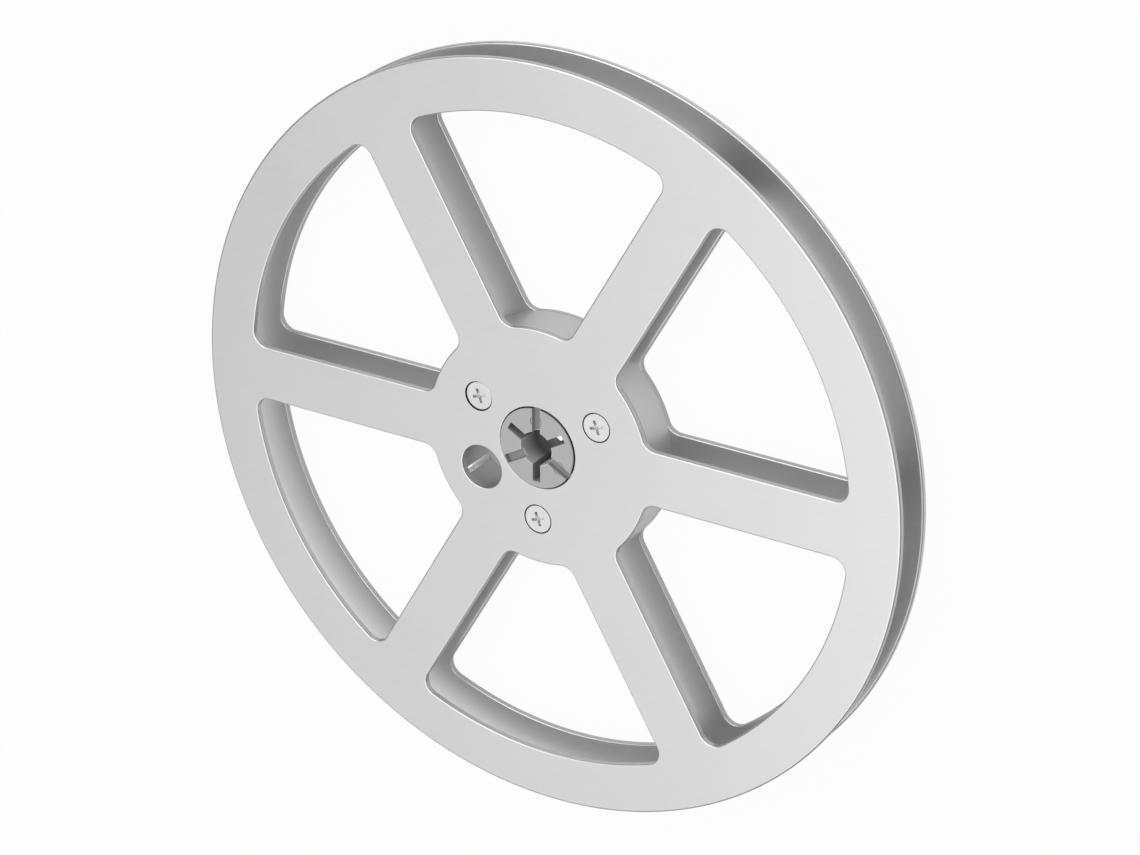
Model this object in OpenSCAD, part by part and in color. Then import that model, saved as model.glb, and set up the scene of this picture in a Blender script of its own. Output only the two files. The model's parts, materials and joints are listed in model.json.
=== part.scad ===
// Audio tape reel lying flat: two identical six-spoke discs on a hub drum with a moulded spindle core.
// Millimetres. +Z is the reel's axis, the front disc is on top, the tape hole is on +X.
// z = 0 is the core's rear end face, which stands a little proud of the rear disc.

/* [Discs] */
// outside diameter of each disc, the seven inch reel size
reel_dia = 177.8; // [170:0.1:190]
// thickness of each disc
disc_t = 1.5; // [1.2:0.1:2]
// radius of the rounded outside edge of a disc
edge_r = 0.5; // [0.1:0.05:0.6]
// width of the ring between the windows and the outside edge
rim_w = 12; // [8:0.1:16]
// width of each of the six spokes
spoke_w = 13.1; // [9:0.1:16]
// radius of the four rounded corners of each window
corner_r = 3.4; // [2:0.1:5]

/* [Hub drum] */
// diameter of the drum that the tape is wound on
hub_dia = 56.4; // [55:0.1:60]
// height of the drum, the free width between the discs
hub_h = 8.7; // [8:0.1:10]
// diameter of the hole through discs and drum for the tape end
tape_hole_dia = 10.2; // [8:0.1:10.4]
// wall of the drum between the core's seat and the tape hole
tape_hole_wall = 1; // [0.6:0.1:2]
// width of the slit from the tape hole to the drum's outside
slit_w = 1.5; // [1:0.1:2.5]

/* [Spindle core] */
// diameter of the spindle bore
bore_dia = 8; // [7.5:0.1:8.5]
// diameter of the core where it shows in each disc
core_dia = 19; // [18.4:0.1:19.4]
// gap all round between the core and the hole in each disc
core_gap = 0.2; // [0.1:0.05:0.4]
// diameter of the core's middle, held between the discs
core_mid_dia = 21.4; // [20.8:0.1:21.6]
// height that the core's end faces stand proud of the discs' outer faces
core_proud = 0.4; // [0.1:0.05:0.8]
// width of the three drive slots
slot_w = 1.9; // [1.5:0.05:2]
// distance from the axis to the outer end of each drive slot
slot_reach = 8; // [6.5:0.1:8.4]
// width of the three shallow grooves in each end face
groove_w = 2; // [1.5:0.05:2.4]
// distance from the axis to the blind end of each groove
groove_reach = 9; // [7.5:0.1:9.1]
// depth of the shallow grooves
groove_d = 1; // [0.5:0.1:1.1]

/* [Screws] */
// diameter of the circle that the three screws of each disc lie on
screw_pcd = 35; // [33:0.1:37]
// diameter of a screw's countersunk head
head_dia = 6.6; // [5.6:0.1:6.8]
// diameter of a screw's threaded shank
shank_dia = 3; // [2.5:0.1:3.5]
// length of a screw over all
screw_len = 5; // [4:0.1:5.2]

/* [Hidden] */
$fn = 96;
eps = 0.01;
over = 1;
corner_lap = 0.005;
reel_r = reel_dia / 2;
hub_r = hub_dia / 2;
window_r = reel_r - rim_w;
spoke_half = spoke_w / 2;
reel_h = hub_h + 2 * disc_t;
rear_z = core_proud;
drum_z = rear_z + disc_t;
front_z = rear_z + reel_h;
core_h = reel_h + 2 * core_proud;
core_hole_r = core_dia / 2 + core_gap;
core_mid_fit = 0.1;
core_seat_r = core_mid_dia / 2 + core_mid_fit;
tape_hole_pitch = core_seat_r + tape_hole_wall + tape_hole_dia / 2;
core_edge = 0.3;
key_w = 4;
key_reach = 13;
key_fit = 0.1;
screw_fit = 0.05;
seat_fit = 0.02;
head_fit = 0.2;
head_sunk = 0.05;
low_screw_sunk = 0.3;
head_rim = 0.2;
head_clear = 0.1;
hub_edge = 0.15;
cross_len = 3.4;
cross_w = 0.75;
cross_d = 1.3;
metal = [0.80, 0.80, 0.81];
drum_metal = [0.74, 0.74, 0.75];
moulding = [0.62, 0.62, 0.62];
steel = [0.86, 0.86, 0.87];

// Plan of one window, centred on +X, with a true arc at each corner
module window_plan() {
    line_off = spoke_half + corner_r;
    outer_c = window_r - corner_r;
    inner_c = hub_r + corner_r;
    outer_a = 30 - asin(line_off / outer_c);
    inner_a = 30 - asin(line_off / inner_c);
    difference() {
        intersection() {
            difference() {
                circle(r = window_r, $fn = 240);
                circle(r = hub_r, $fn = 160);
            }
            spoke_gap_plan();
        }
        for (m = [0, 1]) mirror([0, m]) {
            corner_cut(outer_c, outer_a, window_r + over);
            corner_cut(inner_c, inner_a, hub_r - over);
        }
    }
    for (m = [0, 1]) mirror([0, m]) {
        rotate(outer_a) translate([outer_c, 0]) circle(r = corner_r + corner_lap, $fn = 48);
        rotate(inner_a) translate([inner_c, 0]) circle(r = corner_r + corner_lap, $fn = 48);
    }
}

// Wedge left between two neighbouring spokes
module spoke_gap_plan() {
    start = spoke_half / sin(30);
    far = reel_r * 1.2;
    polygon([
        [start, 0],
        [start + far * cos(30), far * sin(30)],
        [start + far * cos(30), -far * sin(30)]
    ]);
}

// Corner piece beyond the rounding: from the arc's centre to its two ends and past the corner
module corner_cut(c, a, far_r) {
    centre = [c * cos(a), c * sin(a)];
    on_ring = [far_r * cos(a), far_r * sin(a)];
    on_spoke = centre + (corner_r + over) * [-sin(30), cos(30)];
    past = on_ring + (corner_r + over) * [-sin(30), cos(30)];
    polygon([centre, on_ring, past, on_spoke]);
}

// One disc with its outer face up, from z = 0 to disc_t
module flange_solid() {
    difference() {
        rotate_extrude($fn = 240) rim_profile();
        for (i = [0:5]) rotate([0, 0, 60 * i])
            translate([0, 0, -over]) linear_extrude(height = disc_t + 2 * over) window_plan();
        translate([0, 0, -over]) cylinder(r = core_hole_r, h = disc_t + 2 * over);
        translate([tape_hole_pitch, 0, -over]) cylinder(d = tape_hole_dia, h = disc_t + 2 * over);
        for (a = [60, 180, 300]) rotate([0, 0, a]) translate([screw_pcd / 2, 0, disc_t])
            countersink(a == 300 ? low_screw_sunk : head_sunk);
    }
}

// Half section of the disc with its rounded outside edges
module rim_profile() {
    square([reel_r - edge_r, disc_t]);
    translate([reel_r - edge_r - eps, edge_r]) square([edge_r + eps, disc_t - 2 * edge_r]);
    for (z = [edge_r, disc_t - edge_r]) translate([reel_r - edge_r, z]) circle(r = edge_r, $fn = 32);
}

// Countersunk clearance hole, its mouth at z = 0, for a head that sits the given depth below the face
module countersink(sunk) {
    mouth = head_dia / 2 + head_fit;
    throat = shank_dia / 2 + head_fit;
    cone_top = sunk + head_rim - head_fit + seat_fit;
    translate([0, 0, -cone_top]) cylinder(r = mouth, h = cone_top + over);
    translate([0, 0, -cone_top - mouth + throat]) cylinder(r1 = throat, r2 = mouth, h = mouth - throat);
    translate([0, 0, -disc_t - hub_h]) cylinder(r = throat, h = disc_t + hub_h);
}

module front_flange() {
    color(metal) translate([0, 0, front_z - disc_t]) flange_solid();
}

module rear_flange() {
    color(metal) translate([0, 0, drum_z]) rotate([180, 0, 0]) flange_solid();
}

module hub() {
    mouth = head_dia / 2 + head_rim + low_screw_sunk + head_clear - disc_t;
    color(drum_metal) translate([0, 0, drum_z]) difference() {
        rotate_extrude($fn = 160) hub_profile();
        translate([0, 0, -over]) cylinder(r = core_seat_r, h = hub_h + 2 * over);
        key_bars(key_w + 2 * key_fit, key_reach + key_fit, -over, hub_h + over);
        translate([tape_hole_pitch, 0, -over]) cylinder(d = tape_hole_dia, h = hub_h + 2 * over);
        translate([tape_hole_pitch, -slit_w / 2, -over]) cube([hub_r, slit_w, hub_h + 2 * over]);
        for (a = [60, 180, 300]) rotate([0, 0, a]) translate([screw_pcd / 2, 0, 0]) {
            translate([0, 0, -over]) cylinder(d = shank_dia + 2 * screw_fit, h = hub_h + 2 * over);
            translate([0, 0, -eps]) cylinder(r1 = mouth + eps, r2 = eps, h = mouth);
            translate([0, 0, hub_h - mouth + eps]) cylinder(r1 = eps, r2 = mouth + eps, h = mouth);
        }
    }
}

// Half section of the drum with its broken edges
module hub_profile() {
    polygon([
        [0, 0],
        [hub_r - hub_edge, 0],
        [hub_r, hub_edge],
        [hub_r, hub_h - hub_edge],
        [hub_r - hub_edge, hub_h],
        [0, hub_h]
    ]);
}

// Two bars that key the core to the drum, clear of the screws and the tape hole
module key_bars(w, reach, low, high) {
    for (a = [120, 240]) rotate([0, 0, a])
        translate([core_seat_r - over, -w / 2, low]) cube([reach - core_seat_r + over, w, high - low]);
}

// Half section of the core: the wide middle between the discs and the narrower ends in them
module core_profile() {
    end = core_dia / 2;
    mid = core_mid_dia / 2;
    polygon([
        [0, 0],
        [end - core_edge, 0],
        [end, core_edge],
        [end, drum_z],
        [mid, drum_z],
        [mid, drum_z + hub_h],
        [end, drum_z + hub_h],
        [end, core_h - core_edge],
        [end - core_edge, core_h],
        [0, core_h]
    ]);
}

module spindle_core() {
    color(moulding) difference() {
        union() {
            rotate_extrude() core_profile();
            key_bars(key_w, key_reach, drum_z, drum_z + hub_h);
        }
        translate([0, 0, -over]) cylinder(d = bore_dia, h = core_h + 2 * over);
        for (a = [60, 180, 300]) rotate([0, 0, a])
            translate([0, -slot_w / 2, -over]) cube([slot_reach, slot_w, core_h + 2 * over]);
        for (a = [0, 120, 240]) rotate([0, 0, a]) {
            translate([0, -groove_w / 2, core_h - groove_d]) cube([groove_reach, groove_w, groove_d + over]);
            translate([0, -groove_w / 2, -over]) cube([groove_reach, groove_w, groove_d + over]);
        }
    }
}

// One countersunk screw, the top of its head at z = 0, pointing down
module screw() {
    head_r = head_dia / 2;
    shank_r = shank_dia / 2;
    cone = head_r - shank_r;
    difference() {
        union() {
            translate([0, 0, -head_rim]) cylinder(r = head_r, h = head_rim);
            translate([0, 0, -head_rim - cone]) cylinder(r1 = shank_r, r2 = head_r, h = cone);
            translate([0, 0, -screw_len]) cylinder(r = shank_r, h = screw_len - head_rim - eps);
        }
        for (a = [0, 90]) rotate([0, 0, a])
            translate([-cross_len / 2, -cross_w / 2, -cross_d]) cube([cross_len, cross_w, cross_d + over]);
    }
}

// The three screws of one disc, whose outer face is at z = 0
module screw_set() {
    for (a = [60, 180, 300]) rotate([0, 0, a])
        translate([screw_pcd / 2, 0, a == 300 ? -low_screw_sunk : -head_sunk])
            rotate([0, 0, 80 - a]) screw();
}

module front_screws() {
    color(steel) translate([0, 0, front_z]) screw_set();
}

module rear_screws() {
    color(steel) translate([0, 0, rear_z]) rotate([180, 0, 0]) screw_set();
}

front_flange();
rear_flange();
hub();
spindle_core();
front_screws();
rear_screws();
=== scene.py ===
import json
import math
import bmesh
import bpy
from mathutils import Matrix, Vector

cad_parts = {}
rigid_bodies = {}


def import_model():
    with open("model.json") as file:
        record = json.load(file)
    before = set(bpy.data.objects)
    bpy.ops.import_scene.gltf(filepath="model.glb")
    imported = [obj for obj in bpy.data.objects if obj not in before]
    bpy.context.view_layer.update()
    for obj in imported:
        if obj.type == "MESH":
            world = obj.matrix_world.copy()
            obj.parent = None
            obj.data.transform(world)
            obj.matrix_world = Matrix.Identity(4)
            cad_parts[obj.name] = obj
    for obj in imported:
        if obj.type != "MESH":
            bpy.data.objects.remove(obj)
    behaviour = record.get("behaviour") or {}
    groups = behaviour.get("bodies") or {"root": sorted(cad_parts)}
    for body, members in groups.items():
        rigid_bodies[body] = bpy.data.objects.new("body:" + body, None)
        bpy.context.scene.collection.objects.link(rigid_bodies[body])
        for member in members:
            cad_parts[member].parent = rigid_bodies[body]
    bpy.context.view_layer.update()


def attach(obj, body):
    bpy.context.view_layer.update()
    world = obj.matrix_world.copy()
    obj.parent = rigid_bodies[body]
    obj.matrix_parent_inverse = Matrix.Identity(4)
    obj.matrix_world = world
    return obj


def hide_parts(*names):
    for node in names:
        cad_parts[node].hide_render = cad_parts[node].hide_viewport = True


for o in list(bpy.data.objects):
    bpy.data.objects.remove(o, do_unlink=True)
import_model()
MM = 0.001

# ---------------------------------------------------------------- sizes (mm), from the part's source but for HEAD_R
REEL_R = 88.9
DISC_T = 1.5
WINDOW_R = 76.9
HUB_R = 28.2
SPOKE_HALF = 6.55
CORNER_R = 3.4
HUB_H = 8.7
REEL_H = HUB_H + 2 * DISC_T
CORE_PROUD = 0.4
CORE_TOP = 2 * CORE_PROUD + REEL_H
REAR_Z = CORE_PROUD
FRONT_Z = REAR_Z + REEL_H
CORE_HOLE_R = 9.7
CORE_R = 9.5
CORE_MID_R = 10.7
CORE_EDGE = 0.3
BORE_R = 4.0
SLOT_W = 1.9
SLOT_REACH = 8.0
GROOVE_W = 2.0
GROOVE_REACH = 9.0
GROOVE_D = 1.0
TAPE_HOLE_R = 5.1
TAPE_HOLE_X = 16.9
SLIT_HALF = 0.75
SEAT_R = 10.8
KEY_IN, KEY_OUT, KEY_W = 10.2, 13.0, 4.0
KEY_FIT = 0.1
KEY_TURNS = (120, 240)  # also of the grooves with a V floor and an ejector mark
SCREW_R = 17.5
SCREW_TURNS = (60, 180, 300)
LOW_TURN = 300  # the screw that sits deeper
HEAD_R = 3.25  # 3.3 in the part's source
SHANK_R = 1.5
SHANK_FIT = 0.05
MOUTH_R = 3.5
HEAD_RIM = 0.2
HEAD_CLEAR = 0.1
HEAD_SUNK = 0.05
LOW_SUNK = 0.3
RIM_EDGE = 0.5

# ---------------------------------------------------------------- sizes (mm) of the small forms made here only
EDGE = 0.35
CORE_HOLE_EDGE = 0.18
TAPE_HOLE_EDGE = 0.28
MOUTH_EDGE = 0.04
HEAD_EDGE = 0.07
DRUM_EDGE = 0.04  # a bevel of 0.15 in the part's source
ARM_EDGE = 0.06
STRIP, HEAD_STRIP, RIM_STRIP, ARM_STRIP = 0.08, 0.06, 0.05, 0.02  # flat strips beside the roundings
SEAT_FIT = 0.02
MOAT = 0.28  # relief under the rims of the screw heads
RIM_WALL_R = 2.8  # the walls beyond it are those of the heads' rims
SLIT_TURN_R = 1.0  # rounding of the slit's outer corners
GROOVE_V = 0.5  # how much deeper the V floors go
MARK_R, MARK_IN, MARK_OUT, MARK_D = 6.6, 1.3, 1.48, 0.25  # ejector marks: place, ring and depth

# ---------------------------------------------------------------- angles, and the materials of a disc by index
GRAIN_TURN = math.radians(-15.4)
RECESS_TURN = math.radians(80)
# BRIGHT's lighter tone on the roundings is a painted highlight, DARK's near-black tone in the narrow gaps is
# painted shade, and UNDER's tone is painted shade on the front disc's inner face and painted light on the rear
# disc's inner face.
BASE, BRIGHT, DARK, UNDER = range(4)


# ---------------------------------------------------------------- node helpers
class Nodes:
    """Makes and links the nodes of one node tree."""

    def __init__(self, tree):
        self.t = tree

    def node(self, kind):
        return self.t.nodes.new(kind)

    def link(self, a, b):
        self.t.links.new(a, b)

    def ramp(self, fac, lo, hi, a, b, kind="LINEAR"):
        """Maps fac from lo..hi to a..b."""
        n = self.node("ShaderNodeMapRange")
        n.interpolation_type = kind
        for k, v in (("From Min", lo), ("From Max", hi), ("To Min", a), ("To Max", b)):
            n.inputs[k].default_value = v
        self.link(fac, n.inputs["Value"])
        return n.outputs["Result"]

    def math(self, op, *terms):
        """The result of op on up to three terms, each a number or a socket."""
        n = self.node("ShaderNodeMath")
        n.operation = op
        for i, v in enumerate(terms):
            if isinstance(v, (int, float)):
                n.inputs[i].default_value = v
            else:
                self.link(v, n.inputs[i])
        return n.outputs[0]


class Mat(Nodes):
    """A procedural material: a Principled shader and the nodes that feed it."""

    def __init__(self, name):
        self.m = bpy.data.materials.new(name)
        self.m.use_nodes = True
        super().__init__(self.m.node_tree)
        self.b = self.t.nodes["Principled BSDF"]

    def coords(self, scale=(1, 1, 1), turn=(0, 0, 0)):
        c = self.node("ShaderNodeTexCoord")
        m = self.node("ShaderNodeMapping")
        m.inputs["Scale"].default_value = scale
        m.inputs["Rotation"].default_value = turn
        self.link(c.outputs["Object"], m.inputs["Vector"])
        return m.outputs["Vector"]

    def noise(self, vec, scale, detail, rough):
        n = self.node("ShaderNodeTexNoise")
        n.inputs["Scale"].default_value = scale
        n.inputs["Detail"].default_value = detail
        n.inputs["Roughness"].default_value = rough
        self.link(vec, n.inputs["Vector"])
        return n.outputs["Fac"]

    def place(self):
        """The x, y and z of a point, and its distance from the axis."""
        sep = self.node("ShaderNodeSeparateXYZ")
        self.link(self.coords(), sep.inputs[0])
        x, y, z = (sep.outputs[n] for n in "XYZ")
        return x, y, z, self.math("SQRT", self.math("ADD", self.math("POWER", x, 2.0), self.math("POWER", y, 2.0)))

    def grain(self, fine, a, b):
        """Maps the fine noise's middle half to a..b."""
        return self.ramp(fine, 0.25, 0.75, a, b)

    def tone(self, fine, swing, cloud, lo, hi):
        """A grey from lo to hi by the soft cloud, with the fine noise's swing on it."""
        return self.math("ADD", self.grain(fine, -swing, swing), self.ramp(cloud, 0.3, 0.7, lo, hi))

    def blend(self, fac, a, b):
        """a where fac is 0 and b where it is 1."""
        return self.math("ADD", self.math("MULTIPLY", a, self.math("SUBTRACT", 1.0, fac)),
                         self.math("MULTIPLY", b, fac))

    def bump(self, height, dist, strength, normal=None):
        n = self.node("ShaderNodeBump")
        n.inputs["Strength"].default_value = strength
        n.inputs["Distance"].default_value = dist
        self.link(height, n.inputs["Height"])
        if normal is not None:
            self.link(normal, n.inputs["Normal"])
        return n.outputs["Normal"]

    def done(self, tone, rough, normal, metallic=1.0):
        """Feeds the shader and hands out the material."""
        grey = self.node("ShaderNodeCombineColor")
        for i in range(3):
            self.link(tone, grey.inputs[i])
        self.link(grey.outputs[0], self.b.inputs["Base Color"])
        self.b.inputs["Metallic"].default_value = metallic
        self.link(rough, self.b.inputs["Roughness"])
        self.link(normal, self.b.inputs["Normal"])
        return self.m


def disc_metal(name, lo, hi, rough):
    """Fine blasted and clear anodised aluminium with a faint, short, straight grain."""
    k = Mat(name)
    streak = k.noise(k.coords((260, 3200, 1200), (0, 0, GRAIN_TURN)), 1.0, 2.0, 0.6)
    speck = k.noise(k.coords(), 5200.0, 2.0, 0.6)
    cloud = k.noise(k.coords(), 45.0, 2.0, 0.5)
    tone = k.math("ADD", k.grain(streak, -0.016, 0.016), k.tone(speck, 0.012, cloud, lo, hi))
    sheen = k.math("ADD", k.grain(streak, rough, rough + 0.06), k.ramp(cloud, 0.3, 0.7, -0.01, 0.01))
    return k.done(tone, sheen, k.bump(speck, 0.000004, 0.35, k.bump(streak, 0.000004, 0.35)))


def disc_edge():
    """The roundings of the discs, smoother than the faces, with a lighter tone that is a painted highlight."""
    k = Mat("disc_edge_painted_highlight")
    speck = k.noise(k.coords(), 4200.0, 2.0, 0.6)
    cloud = k.noise(k.coords(), 70.0, 2.0, 0.5)
    return k.done(k.tone(speck, 0.015, cloud, 0.85, 0.88), k.grain(speck, 0.31, 0.37), k.bump(speck, 0.000003, 0.3))


def gap_metal():
    """The walls inside the narrow gaps round the core and the screw heads, near black: painted shade."""
    k = Mat("gap_metal_painted_shade")
    speck = k.noise(k.coords(), 3600.0, 2.0, 0.6)
    cloud = k.noise(k.coords(), 300.0, 2.0, 0.5)
    return k.done(k.tone(speck, 0.01, cloud, 0.1, 0.14), k.grain(speck, 0.6, 0.7), k.bump(speck, 0.000004, 0.3))


def drum_metal():
    """Turned drum: fine lines round the axis on a satin wall, smoother in the slit, with painted shade in its holes
    and deep in the slit.
    """
    k = Mat("drum_metal_turned")
    lines = k.noise(k.coords((30, 30, 9000)), 1.0, 2.0, 0.5)
    cloud = k.noise(k.coords(), 60.0, 2.0, 0.5)
    x, y, z, radius = k.place()
    # Painted shade: everything inside the drum's wall, its holes and seat, has 0.72 of the tone.
    inner = k.ramp(radius, (HUB_R - 0.6) * MM, (HUB_R - 0.1) * MM, 0.72, 1.0)
    beyond = k.math("GREATER_THAN", x, (TAPE_HOLE_X + TAPE_HOLE_R + 0.15) * MM)
    slit = k.math("MULTIPLY", beyond, k.math("LESS_THAN", k.math("ABSOLUTE", y), (SLIT_HALF + 0.02) * MM))
    drum_top = FRONT_Z - DISC_T
    # Painted shade in the slit: half the tone from 3.2 mm below the drum's top, full tone from 2.2 mm below it
    # upwards.
    lit = k.ramp(z, (drum_top - 3.2) * MM, (drum_top - 2.2) * MM, 0.5, 1.0)
    tone = k.math("MULTIPLY", k.tone(lines, 0.02, cloud, 0.93, 0.96), k.blend(slit, inner, lit))
    rough = k.math("SUBTRACT", k.grain(lines, 0.46, 0.54), k.math("MULTIPLY", slit, 0.4))
    return k.done(tone, rough, k.bump(lines, 0.000006, 0.4))


def moulding():
    """Grey moulded plastic with a fine eroded grain, with painted shade in its grooves, its bore and its side wall,
    and painted light at its bore's ends.
    """
    k = Mat("moulding_grey")
    grain = k.noise(k.coords(), 3800.0, 3.0, 0.6)
    cloud = k.noise(k.coords(), 180.0, 2.0, 0.5)
    x, y, z, radius = k.place()
    end = (CORE_PROUD + REEL_H / 2) * MM
    height = k.math("ABSOLUTE", k.math("SUBTRACT", z, end))
    # Painted shade: 0.6 of the tone deeper than 0.9 mm below each end face, in the grooves and slots.
    groove = k.ramp(height, end - 0.9 * MM, end - 0.1 * MM, 0.6, 1.0)
    bore = k.ramp(radius, (BORE_R + 0.1) * MM, (BORE_R + 0.2) * MM, 1.0, 0.0)
    # In the bore, painted shade down to 0.4 of the tone in the middle and painted light up to 1.5 of it near the
    # ends.
    bore_shade = k.ramp(height, end - 6.0 * MM, end - 0.3 * MM, 0.4, 1.5)
    # Painted shade on the side wall below the rim: 0.15 of the tone.
    side = k.math("MULTIPLY", k.ramp(radius, (CORE_R - 0.06) * MM, (CORE_R - 0.04) * MM, 0.0, 1.0),
                  k.ramp(height, end - 0.3 * MM, end - 0.2 * MM, 1.0, 0.0))
    shade = k.math("MULTIPLY", k.blend(bore, groove, bore_shade),
                   k.math("SUBTRACT", 1.0, k.math("MULTIPLY", side, 0.85)))
    k.b.inputs["Specular IOR Level"].default_value = 0.35
    return k.done(k.math("MULTIPLY", k.tone(grain, 0.012, cloud, 0.52, 0.54), shade),
                  k.grain(grain, 0.5, 0.6), k.bump(grain, 0.000012, 0.3), 0.0)


def screw_steel():
    """Bright plated steel, faintly mottled."""
    k = Mat("screw_steel_plated")
    speck = k.noise(k.coords(), 4200.0, 3.0, 0.6)
    cloud = k.noise(k.coords(), 420.0, 2.0, 0.5)
    return k.done(k.tone(speck, 0.02, cloud, 0.90, 0.94), k.grain(speck, 0.26, 0.36), k.bump(speck, 0.000006, 0.4))


# ---------------------------------------------------------------- outlines, as lists of (x, y) in mm
def polar(r, degrees):
    a = math.radians(degrees)
    return r * math.cos(a), r * math.sin(a)


def spun(pts, a):
    """The points turned by the angle a about the axis."""
    c, s = math.cos(a), math.sin(a)
    return [(x * c - y * s, x * s + y * c) for x, y in pts]


def circle_pts(r, n, cx=0.0, cy=0.0):
    return [(cx + r * math.cos(2 * math.pi * i / n), cy + r * math.sin(2 * math.pi * i / n)) for i in range(n)]


def arc_pts(cx, cy, r, a0, a1, n):
    turns = (a0 + (a1 - a0) * i / n for i in range(n + 1))
    return [(cx + r * math.cos(a), cy + r * math.sin(a)) for a in turns]


def window_pts(d, turn):
    """Outline of one window, moved d into the metal, with the same number of points for every d."""
    off = SPOKE_HALF + CORNER_R
    oc, ic = WINDOW_R - CORNER_R, HUB_R + CORNER_R
    a120, a30 = math.radians(120), math.radians(30)
    oa, ia = a30 - math.asin(off / oc), a30 - math.asin(off / ic)
    half = arc_pts(0, 0, WINDOW_R + d, 0, oa, 20)[1:]
    half += arc_pts(oc * math.cos(oa), oc * math.sin(oa), CORNER_R + d, oa, a120, 12)[1:]
    start = half[-1]
    inner = arc_pts(ic * math.cos(ia), ic * math.sin(ia), CORNER_R + d, a120, math.pi + ia, 12)
    for i in range(1, 6):
        half.append(tuple(p + (q - p) * i / 6 for p, q in zip(start, inner[0])))
    half += inner
    half += arc_pts(0, 0, HUB_R - d, ia, 0, 8)[1:]
    return spun(half + [(x, -y) for x, y in reversed(half[:-1])] + [(WINDOW_R + d, 0.0)], turn)


def drum_pts(d):
    """Outline of the drum with the tape hole and its slit, moved d into the metal."""
    turn = SLIT_TURN_R - d
    cy = SLIT_HALF + SLIT_TURN_R
    cx = math.sqrt((HUB_R - SLIT_TURN_R) ** 2 - cy * cy)
    w, hole = SLIT_HALF + d, TAPE_HOLE_R + d
    b, g = math.atan2(cy, cx), math.asin(w / hole)
    pts = arc_pts(0, 0, HUB_R - d, b, 2 * math.pi - b, 240)[1:]
    pts += arc_pts(cx, -cy, turn, -b, math.pi / 2, 8)[1:]
    pts += arc_pts(TAPE_HOLE_X, 0, hole, -g, g - 2 * math.pi, 72)
    pts += arc_pts(cx, cy, turn, -math.pi / 2, b, 8)
    return pts


def seat_pts():
    """Outline of the drum's seat for the core with its two key ways."""
    w, reach = KEY_W / 2 + KEY_FIT, KEY_OUT + KEY_FIT
    g = math.asin(w / SEAT_R)
    root = SEAT_R * math.cos(g)
    pts = []
    for a, b in (KEY_TURNS, (KEY_TURNS[1], KEY_TURNS[0] + 360)):
        m = math.radians(a)
        pts += spun([(root, -w), (reach, -w), (reach, w), (root, w)], m)
        pts += arc_pts(0, 0, SEAT_R, m + g, math.radians(b) - g, (b - a) // 4)[1:-1]
    return pts


def arm_pts(k, e):
    """The four corners of groove (even k) or slot (odd k), moved e into the metal."""
    w, reach = (GROOVE_W, GROOVE_REACH) if k % 2 == 0 else (SLOT_W, SLOT_REACH)
    w, reach, rb = w / 2 + e, reach + e, BORE_R + e
    xb = math.sqrt(rb * rb - w * w)
    return spun([(xb, -w), (reach, -w), (reach, w), (xb, w)], math.radians(60 * k))


def bore_arc(k, e):
    """Points of the bore between arm k and the next one, ends left out."""
    wa, wb = (GROOVE_W, SLOT_W) if k % 2 == 0 else (SLOT_W, GROOVE_W)
    rb = BORE_R + e
    a0 = math.radians(60 * k) + math.asin((wa / 2 + e) / rb)
    a1 = math.radians(60 * k + 60) - math.asin((wb / 2 + e) / rb)
    return arc_pts(0, 0, rb, a0, a1, 8)[1:-1]


def quarter(r, steps):
    """(inward, down) steps of a rounding of radius r, from the face to the wall."""
    turns = (math.pi / 2 * i / steps for i in range(steps + 1))
    return [(r * (1 - math.sin(a)), r * (1 - math.cos(a))) for a in turns]


def rounded(r, t, steps=5):
    """(offset into the metal, height) from the top face down to the bottom face, both edges rounded by r."""
    top = [(r + STRIP, t)] + [(d, t - z) for d, z in quarter(r, steps)]
    return top + [(d, t - z) for d, z in reversed(top)]


def rounded_top(r, t, steps=5):
    """The same with the top edge rounded only."""
    return rounded(r, t, steps)[:steps + 2] + [(0.0, 0.0), (STRIP, 0.0)]


# ---------------------------------------------------------------- mesh helpers
def ring(bm, pts, z):
    return [bm.verts.new((x * MM, y * MM, z * MM)) for x, y in pts]


def bridge(bm, a, b):
    n = len(a)
    return [bm.faces.new((a[i], a[(i + 1) % n], b[(i + 1) % n], b[i])) for i in range(n)]


def bridge_all(bm, rings):
    for a, b in zip(rings, rings[1:]):
        bridge(bm, a, b)


def loft(bm, rings):
    """Joins the rings one after another and closes both ends."""
    bridge_all(bm, rings)
    bm.faces.new(rings[0])
    bm.faces.new(list(reversed(rings[-1])))


def fill(bm, loops, up):
    """Fills the plane between closed loops with triangles."""
    edges = [bm.edges.get((l[i], l[(i + 1) % len(l)])) for l in loops for i in range(len(l))]
    made = bmesh.ops.triangle_fill(bm, use_beauty=True, use_dissolve=False, edges=edges, normal=(0, 0, up))
    return [f for f in made["geom"] if isinstance(f, bmesh.types.BMFace)]


def mesh_object(bm, name):
    me = bpy.data.meshes.new(name)
    bm.to_mesh(me)
    bm.free()
    o = bpy.data.objects.new(name, me)
    bpy.context.scene.collection.objects.link(o)
    return o


def tool_object(bm, name):
    bmesh.ops.recalc_face_normals(bm, faces=bm.faces)
    return mesh_object(bm, name)


def smooth(o, sharp_deg):
    o.data.shade_smooth()
    o.data.set_sharp_from_angle(angle=math.radians(sharp_deg))
    w = o.modifiers.new("weighted", "WEIGHTED_NORMAL")
    w.keep_sharp = True
    w.weight = 80
    return o


def cut(o, tool):
    """Cuts the tool out of the object, for good, and removes the tool."""
    b = o.modifiers.new("cut", "BOOLEAN")
    b.operation = "DIFFERENCE"
    b.solver = "EXACT"
    b.use_self = True
    b.object = tool
    bpy.context.view_layer.update()
    me = bpy.data.meshes.new_from_object(o.evaluated_get(bpy.context.evaluated_depsgraph_get()))
    o.modifiers.clear()
    old = o.data
    o.data = me
    bpy.data.meshes.remove(old)
    bpy.data.objects.remove(tool, do_unlink=True)


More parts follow.
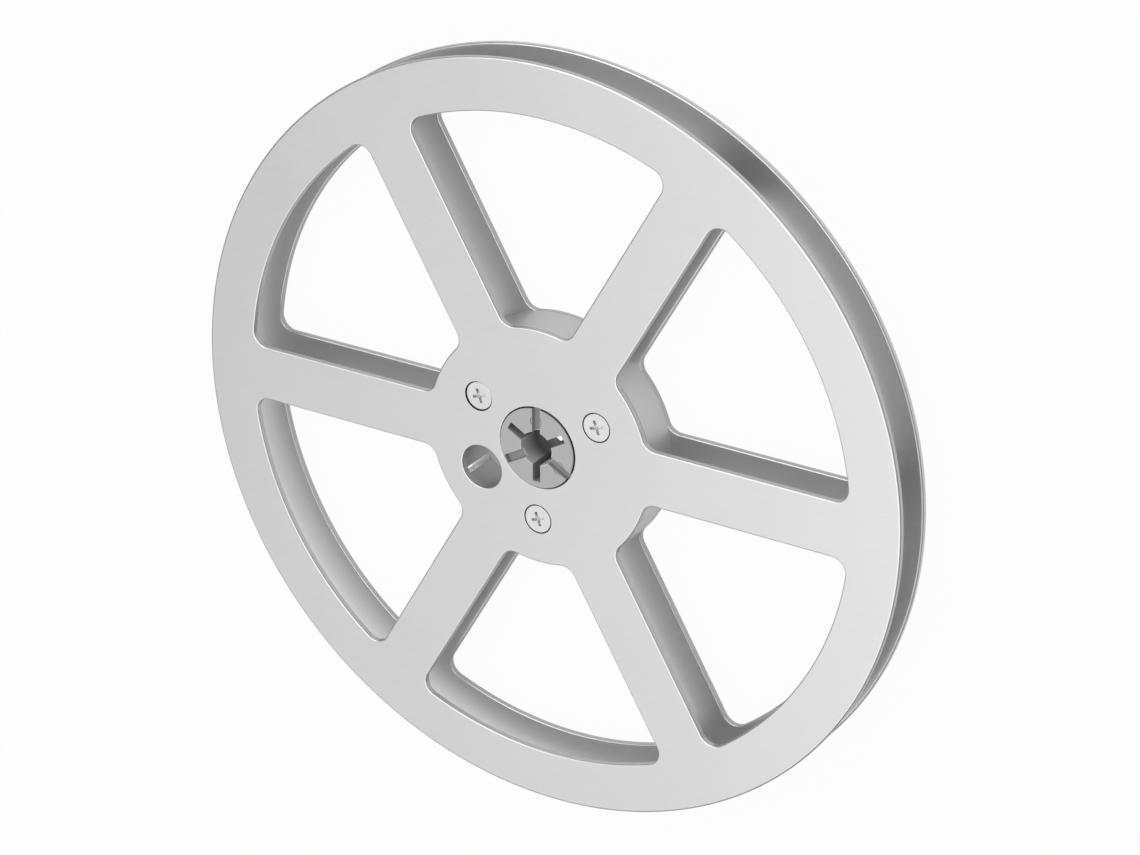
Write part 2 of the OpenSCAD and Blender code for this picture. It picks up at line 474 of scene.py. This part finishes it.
def set_in(bm, z, turned):
    """Lifts a piece to z, turned over about X first if it is one of the rear side."""
    m = Matrix.Translation((0, 0, z * MM))
    if turned:
        m = m @ Matrix.Rotation(math.pi, 4, "X")
    bmesh.ops.transform(bm, matrix=m, verts=bm.verts)


def solid_of_rings(name, rows, n, cx=0.0, cy=0.0, tube=False):
    """A turned solid from (radius, height) rows; radius 0 closes it to a point, a tube closes to its first row."""
    bm = bmesh.new()
    rings = []
    for r, z in rows:
        rings.append(ring(bm, circle_pts(r, n, cx, cy) if r else [(cx, cy)], z))
    for a, b in zip(rings, rings[1:]):
        for i in range(n):
            j = (i + 1) % n
            if len(a) == 1:
                bm.faces.new((a[0], b[i], b[j]))
            elif len(b) == 1:
                bm.faces.new((a[j], a[i], b[0]))
            else:
                bm.faces.new((a[i], a[j], b[j], b[i]))
    if tube:
        bridge(bm, rings[-1], rings[0])
    return tool_object(bm, name)


class Plate:
    """A flat piece: upright walls, one for each outline, and the faces between them at both ends."""

    def __init__(self):
        self.bm = bmesh.new()
        self.tops, self.lows = [], []

    def wall(self, rows, bright=(), dark=()):
        """rows holds (outline, height) from the top down; bright and dark number the bands of those materials."""
        rings = [ring(self.bm, pts, z) for pts, z in rows]
        for i, (a, b) in enumerate(zip(rings, rings[1:])):
            for f in bridge(self.bm, a, b):
                f.material_index = DARK if i in dark else BRIGHT if i in bright else BASE
        self.tops.append(rings[0])
        self.lows.append(rings[-1])

    def close(self, under=BASE):
        fill(self.bm, self.tops, 1)
        for f in fill(self.bm, self.lows, -1):
            f.material_index = under
        bmesh.ops.recalc_face_normals(self.bm, faces=self.bm.faces)


# ---------------------------------------------------------------- discs
def disc_mesh(name, rear):
    """One disc, its outer face up, or turned over for the rear side."""
    plate = Plate()
    top, both = range(1, 6), (*range(1, 6), *range(7, 12))
    # The roundings' bands take the bright material, whose lighter tone is a painted highlight.
    plate.wall([(circle_pts(REEL_R - d, 360), z) for d, z in rounded(RIM_EDGE, DISC_T)], both)
    for i in range(6):
        plate.wall([(window_pts(d, math.radians(60 * i)), z) for d, z in rounded(EDGE, DISC_T)], both)
    # The core hole's wall, band 6, takes the near-black gap material: painted shade.
    plate.wall([(circle_pts(CORE_HOLE_R + d, 120), z) for d, z in rounded_top(CORE_HOLE_EDGE, DISC_T)], top, (6,))
    plate.wall([(circle_pts(TAPE_HOLE_R + d, 80, TAPE_HOLE_X), z) for d, z in rounded_top(TAPE_HOLE_EDGE, DISC_T)],
               top)
    for a in SCREW_TURNS:
        sunk = LOW_SUNK if a == LOW_TURN else HEAD_SUNK
        cone = sunk + HEAD_RIM - (MOUTH_R - HEAD_R) + SEAT_FIT
        moat = cone + MOAT
        low_r = MOUTH_R - DISC_T + cone
        rows = [(MOUTH_R + MOUTH_EDGE + STRIP, DISC_T), (MOUTH_R + MOUTH_EDGE, DISC_T),
                (MOUTH_R + 0.3 * MOUTH_EDGE, DISC_T - 0.3 * MOUTH_EDGE), (MOUTH_R, DISC_T - MOUTH_EDGE),
                (MOUTH_R, DISC_T - moat), (MOUTH_R - MOAT, DISC_T - moat), (low_r, 0), (low_r + STRIP, 0)]
        # The lower part of each screw mouth's rounding, its wall, the relief floor and the cone, bands 2 to 5, take
        # the near-black gap material: painted shade.
        plate.wall([(circle_pts(r, 64, *polar(SCREW_R, a)), z) for r, z in rows], (), (2, 3, 4, 5))
    # The inner face takes material 3: painted shade on the front disc, painted light on the rear disc.
    plate.close(UNDER)
    set_in(plate.bm, REAR_Z + DISC_T if rear else FRONT_Z - DISC_T, rear)
    return smooth(mesh_object(plate.bm, name), 50)


# ---------------------------------------------------------------- screws
def recess_tool():
    """The cross recess: four arms that narrow downwards round a small cone."""
    bm = bmesh.new()
    arms = [(1.78, 0.37, 0.3), (1.70, 0.34, 0.0), (0.95, 0.24, -1.15), (0.45, 0.18, -1.45)]
    for a in (0.0, math.pi / 2):
        loft(bm, [ring(bm, spun([(l, w), (-l, w), (-l, -w), (l, -w)], a), z) for l, w, z in arms])
    cone = [(0.70, 0.3), (0.66, 0.0), (0.42, -1.3), (0.06, -1.75)]
    loft(bm, [ring(bm, circle_pts(r, 16), z) for r, z in cone])
    return tool_object(bm, "recess")


def one_screw():
    """A countersunk screw, the top of its head at z = 0: rounded rim, cone, thread rings and point."""
    root, crest, neck, pitch = SHANK_R - 0.20, SHANK_R - 0.02, SHANK_R - 0.12, 0.5
    rows = [(0, 0), (HEAD_R - HEAD_EDGE - HEAD_STRIP, 0)]
    rows += [(HEAD_R - d, -z) for d, z in quarter(HEAD_EDGE, 4)]
    rows += [(HEAD_R, -HEAD_RIM), (neck, -HEAD_RIM - HEAD_R + neck)]
    z = rows[-1][1] - 0.05
    while z > -4.6:
        rows += [(root, z - 0.02), (crest, z - 0.22), (crest, z - 0.28), (root, z - 0.48)]
        z -= pitch
    rows += [(SHANK_R - 0.25, -4.8), (SHANK_R - 0.5, -5.0), (0, -5.0)]
    o = solid_of_rings("screw", rows, 64)
    cut(o, recess_tool())
    return o


def screw_pieces(name, rear):
    """Three screws as one piece, one of them sunk deeper, with painted shade, a near-black material, on the walls
    of the heads' rims.
    """
    src = one_screw()
    # Faces below the head's top beyond RIM_WALL_R take the near-black gap material: painted shade.
    for f in src.data.polygons:
        below = all(src.data.vertices[i].co.z < -0.02 * MM for i in f.vertices)
        f.material_index = 1 if below and f.center.xy.length > RIM_WALL_R * MM else 0
    bm = bmesh.new()
    for a in SCREW_TURNS:
        x, y = polar(SCREW_R, a)
        me = src.data.copy()
        me.transform(Matrix.Rotation(RECESS_TURN, 4, "Z"))
        me.transform(Matrix.Translation((x * MM, y * MM, -(LOW_SUNK if a == LOW_TURN else HEAD_SUNK) * MM)))
        bm.from_mesh(me)
        bpy.data.meshes.remove(me)
    bpy.data.objects.remove(src, do_unlink=True)
    set_in(bm, REAR_Z if rear else FRONT_Z, rear)
    return smooth(mesh_object(bm, name), 30)


# ---------------------------------------------------------------- drum
def hub_piece(name):
    """The drum: turned outside, seat for the core, tape hole with its slit and three screw holes."""
    plate = Plate()
    plate.wall([(drum_pts(d), z) for d, z in rounded(DRUM_EDGE, HUB_H, 3)])
    plate.wall([(seat_pts(), HUB_H), (seat_pts(), 0)])
    mouth = HEAD_R + HEAD_RIM + LOW_SUNK + HEAD_CLEAR - DISC_T
    hole = SHANK_R + SHANK_FIT
    rows = [(mouth, HUB_H), (hole, HUB_H - mouth + hole), (hole, mouth - hole), (mouth, 0)]
    for a in SCREW_TURNS:
        plate.wall([(circle_pts(r, 48, *polar(SCREW_R, a)), z) for r, z in rows])
    plate.close()
    set_in(plate.bm, REAR_Z + DISC_T, False)
    return smooth(mesh_object(plate.bm, name), 50)


# ---------------------------------------------------------------- spindle core
def groove_floor(bm, k, arm, level):
    """Closes groove k at its floor, flat for k = 0 and else a V; returns the floor's points on the bore."""
    w, m = math.asin(GROOVE_W / 2 / BORE_R), math.radians(60 * k)
    floor_z = CORE_TOP - GROOVE_D
    mid = []
    for j in range(1, 6):
        t = w * (j - 3) / 3
        sink = GROOVE_V * (1 - abs(BORE_R * math.sin(t)) / (GROOVE_W / 2)) if k else 0.0
        mid += ring(bm, [(BORE_R * math.cos(m + t), BORE_R * math.sin(m + t))], level(floor_z - sink))
    if k:
        end = ring(bm, [polar(GROOVE_REACH, 60 * k)], level(floor_z - GROOVE_V))[0]
        bm.faces.new([arm[0], arm[1], end, mid[2], mid[1], mid[0]])
        bm.faces.new([arm[3], mid[4], mid[3], mid[2], end, arm[2]])
        bm.faces.new([arm[1], arm[2], end])
    else:
        bm.faces.new(arm + list(reversed(mid)))
    return mid


def core_end(bm, level):
    """One end of the core from its face to the groove floors; returns the loops of its bore and of its rim."""
    def outline(e, z):
        loop = []
        for k in range(6):
            loop += ring(bm, arm_pts(k, e), z) + ring(bm, bore_arc(k, e), z)
        return loop

    turns = [(ARM_EDGE + ARM_STRIP, CORE_TOP)] + [(d, CORE_TOP - z) for d, z in quarter(ARM_EDGE, 4)]
    rings = [outline(e, level(z)) for e, z in turns] + [outline(0, level(CORE_TOP - GROOVE_D))]
    bridge_all(bm, rings)
    low, through = rings[-1], []
    for k in range(6):
        arm, arc = low[11 * k:11 * k + 4], low[11 * k + 4:11 * k + 11]
        if k % 2:
            through += arm
        else:
            through += [arm[0]] + groove_floor(bm, k, arm, level) + [arm[3]]
        through += arc
    rim = [(CORE_R - CORE_EDGE - RIM_STRIP, CORE_TOP)]
    rim += [(CORE_R - d, CORE_TOP - z) for d, z in quarter(CORE_EDGE, 5)]
    outer = [ring(bm, circle_pts(r, 144), level(z)) for r, z in rim]
    bridge_all(bm, outer)
    fill(bm, (rings[0], outer[0]), 1)
    return through, outer[-1]


def groove_end(turn, z, up):
    """A wedge that takes a V groove out through the core's rim."""
    bm = bmesh.new()
    w, lap = GROOVE_W / 2 - 0.01, 0.01 - GROOVE_D
    prof = [(-w, 0.2), (w, 0.2), (w, lap), (0.0, lap - GROOVE_V), (-w, lap)]
    rings = []
    for r in (GROOVE_REACH - 0.1, CORE_R + 0.3):
        pts = spun([(r, y) for y, h in prof], turn)
        rings.append([ring(bm, [p], z + up * h)[0] for p, (y, h) in zip(pts, prof)])
    loft(bm, rings)
    return tool_object(bm, "groove_end")


def core_piece(name):
    """The spindle core: turned outside, bore, three through slots, three blind grooves in each end, two keys."""
    bm = bmesh.new()
    up, up_rim = core_end(bm, lambda z: z)
    down, down_rim = core_end(bm, lambda z: CORE_TOP - z)
    bridge(bm, up, down)
    high, low = FRONT_Z - DISC_T, REAR_Z + DISC_T
    steps = ((CORE_R, high), (CORE_MID_R, high), (CORE_MID_R, low), (CORE_R, low))
    bridge_all(bm, [up_rim] + [ring(bm, circle_pts(r, 144), z) for r, z in steps] + [down_rim])
    o = tool_object(bm, name)
    for a in KEY_TURNS:
        for z in (0.0, CORE_TOP):
            rows = [(MARK_IN, z + MARK_D), (MARK_OUT, z + MARK_D), (MARK_OUT, z - MARK_D), (MARK_IN, z - MARK_D)]
            cut(o, solid_of_rings("mark", rows, 64, *polar(MARK_R, a), True))
            cut(o, groove_end(math.radians(a), z, 1 if z else -1))
    keys = bmesh.new()
    keys.from_mesh(o.data)
    size = Matrix.Diagonal(((KEY_OUT - KEY_IN) * MM, KEY_W * MM, HUB_H * MM, 1))
    for a in KEY_TURNS:
        at = Matrix.Translation(((KEY_IN + KEY_OUT) / 2 * MM, 0, (low + HUB_H / 2) * MM))
        bmesh.ops.create_cube(keys, size=1.0, matrix=Matrix.Rotation(math.radians(a), 4, "Z") @ at @ size)
    keys.to_mesh(o.data)
    keys.free()
    return smooth(o, 40)


# ---------------------------------------------------------------- pieces
# The real discs are one metal. The tones of their inner faces are fitted to the photo and stand in for shade.
M_DISC = disc_metal("disc_metal_satin", 0.795, 0.815, 0.40)
M_EDGE, M_GAP = disc_edge(), gap_metal()
# The front disc's inner face is darker than its outer face: painted shade.
M_SHADED_INNER = disc_metal("disc_inner_painted_shade", 0.56, 0.58, 0.40)
# The rear disc's inner face is lighter than its outer face: painted light.
M_LIT_INNER = disc_metal("disc_inner_painted_light", 0.89, 0.91, 0.37)
M_DRUM, M_CORE, M_SCREW = drum_metal(), moulding(), screw_steel()


def dress(o, mats, node):
    for m in mats:
        o.data.materials.append(m)
    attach(o, "root")
    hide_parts(node)


dress(disc_mesh("front_disc", False), (M_DISC, M_EDGE, M_GAP, M_SHADED_INNER), "front_flange")
dress(disc_mesh("rear_disc", True), (M_DISC, M_EDGE, M_GAP, M_LIT_INNER), "rear_flange")
dress(screw_pieces("front_screws_cross", False), (M_SCREW, M_GAP), "front_screws")
dress(screw_pieces("rear_screws_cross", True), (M_SCREW, M_GAP), "rear_screws")
dress(hub_piece("drum_turned"), (M_DRUM,), "hub")
dress(core_piece("core_moulding"), (M_CORE,), "spindle_core")


# ---------------------------------------------------------------- floor, light and camera
FLOOR_HALF = 3.0
FLOOR_Z = -0.0001
FLOOR_TONE = 0.55
FLOOR_WHITE = 0.965
SKY_TOP = 0.65
LAMP_DISTANCE = 1.1
LAMPS = (  # name, azimuth, elevation, diameter in metres, watts
    ("softbox_top", 200, 72, 0.5, 0.87),
    ("softbox_over", 62, 72, 0.9, 1.3),
    ("softbox_left", 45, 52, 0.5, 0.35),
    ("softbox_key", 345, 66, 0.5, 0.25),
    ("softbox_low", 12, 33, 0.5, 0.28),
    ("softbox_front", 217, 40, 0.7, 0.6),
    ("softbox_rim", 280, 48, 0.6, 1.45),
    ("softbox_rim_low", 250, 34, 0.6, 1.0),
)


def floor():
    """A pale floor that the camera sees as near white, with the reel's soft shadow on it. What the metal
    mirrors of it is brightest in a ring just outside the reel and falls off under and away from it."""
    me = bpy.data.meshes.new("floor")
    corners = [(x * FLOOR_HALF, y * FLOOR_HALF, FLOOR_Z) for x, y in ((-1, -1), (1, -1), (1, 1), (-1, 1))]
    me.from_pydata(corners, [], [(0, 1, 2, 3)])
    o = bpy.data.objects.new("floor", me)
    bpy.context.scene.collection.objects.link(o)
    m = bpy.data.materials.new("floor_white")
    m.use_nodes = True
    k = Nodes(m.node_tree)
    k.t.nodes.clear()
    shade = k.node("ShaderNodeBsdfDiffuse")
    shade.inputs["Color"].default_value = (FLOOR_TONE, FLOOR_TONE, FLOOR_TONE, 1)
    white = k.node("ShaderNodeEmission")
    white.inputs["Strength"].default_value = 1.0
    ray = k.node("ShaderNodeLightPath")
    seen = k.math("MULTIPLY", ray.outputs["Is Camera Ray"], FLOOR_WHITE)
    mirror = k.math("MAXIMUM", ray.outputs["Is Glossy Ray"], ray.outputs["Is Transmission Ray"])
    coords = k.node("ShaderNodeTexCoord")
    length = k.node("ShaderNodeVectorMath")
    length.operation = "LENGTH"
    k.link(coords.outputs["Object"], length.inputs[0])
    away = length.outputs["Value"]
    glow = k.math("MULTIPLY", k.ramp(away, 0.0915, 0.095, 0.55, 0.25), k.ramp(away, 0.085, 0.0875, 0.45, 1.0))
    mix = k.node("ShaderNodeMixShader")
    k.link(k.math("MULTIPLY_ADD", mirror, glow, seen), mix.inputs[0])
    k.link(shade.outputs[0], mix.inputs[1])
    k.link(white.outputs[0], mix.inputs[2])
    k.link(mix.outputs[0], k.node("ShaderNodeOutputMaterial").inputs["Surface"])
    me.materials.append(m)


def world():
    """A white sky that fades to dark at the horizon."""
    w = bpy.data.worlds.new("studio")
    bpy.context.scene.world = w
    w.use_nodes = True
    k = Nodes(w.node_tree)
    sky = k.t.nodes["Background"]
    sky.inputs["Color"].default_value = (1, 1, 1, 1)
    coords = k.node("ShaderNodeTexCoord")
    sep = k.node("ShaderNodeSeparateXYZ")
    k.link(coords.outputs["Generated"], sep.inputs[0])
    k.link(k.ramp(sep.outputs["Z"], 0.0, 1.0, 0.0, SKY_TOP, "SMOOTHSTEP"), sky.inputs["Strength"])


def lamp(name, azimuth, elevation, size, power):
    """A round soft lamp that looks at the origin."""
    d = bpy.data.lights.new(name, "AREA")
    d.shape = "DISK"
    d.size = size
    d.energy = power
    o = bpy.data.objects.new(name, d)
    a, e = math.radians(azimuth), math.radians(elevation)
    at = Vector((math.cos(e) * math.cos(a), math.cos(e) * math.sin(a), math.sin(e))) * LAMP_DISTANCE
    o.location = at
    o.rotation_euler = (-at).to_track_quat("-Z", "Y").to_euler()
    bpy.context.scene.collection.objects.link(o)


def camera():
    """The photo's camera, fitted to the rims, windows and spokes."""
    right = (-0.73154, 0.42817, -0.53059)
    up = (-0.25020, -0.89252, -0.37527)
    back = (-0.63424, -0.14178, 0.76003)
    at = (-0.492303, -0.109549, 0.588905)
    d = bpy.data.cameras.new("camera")
    d.sensor_fit = "HORIZONTAL"
    d.sensor_width = 36.0
    d.lens = 110.889
    d.clip_start = 0.01
    d.clip_end = 20
    o = bpy.data.objects.new("camera", d)
    o.matrix_world = Matrix([(*row, 0) for row in (right, up, back)] + [(*at, 1)]).transposed()
    bpy.context.scene.collection.objects.link(o)
    bpy.context.scene.camera = o


floor()
world()
for row in LAMPS:
    lamp(*row)
camera()
bpy.context.scene.view_settings.view_transform = "Standard"
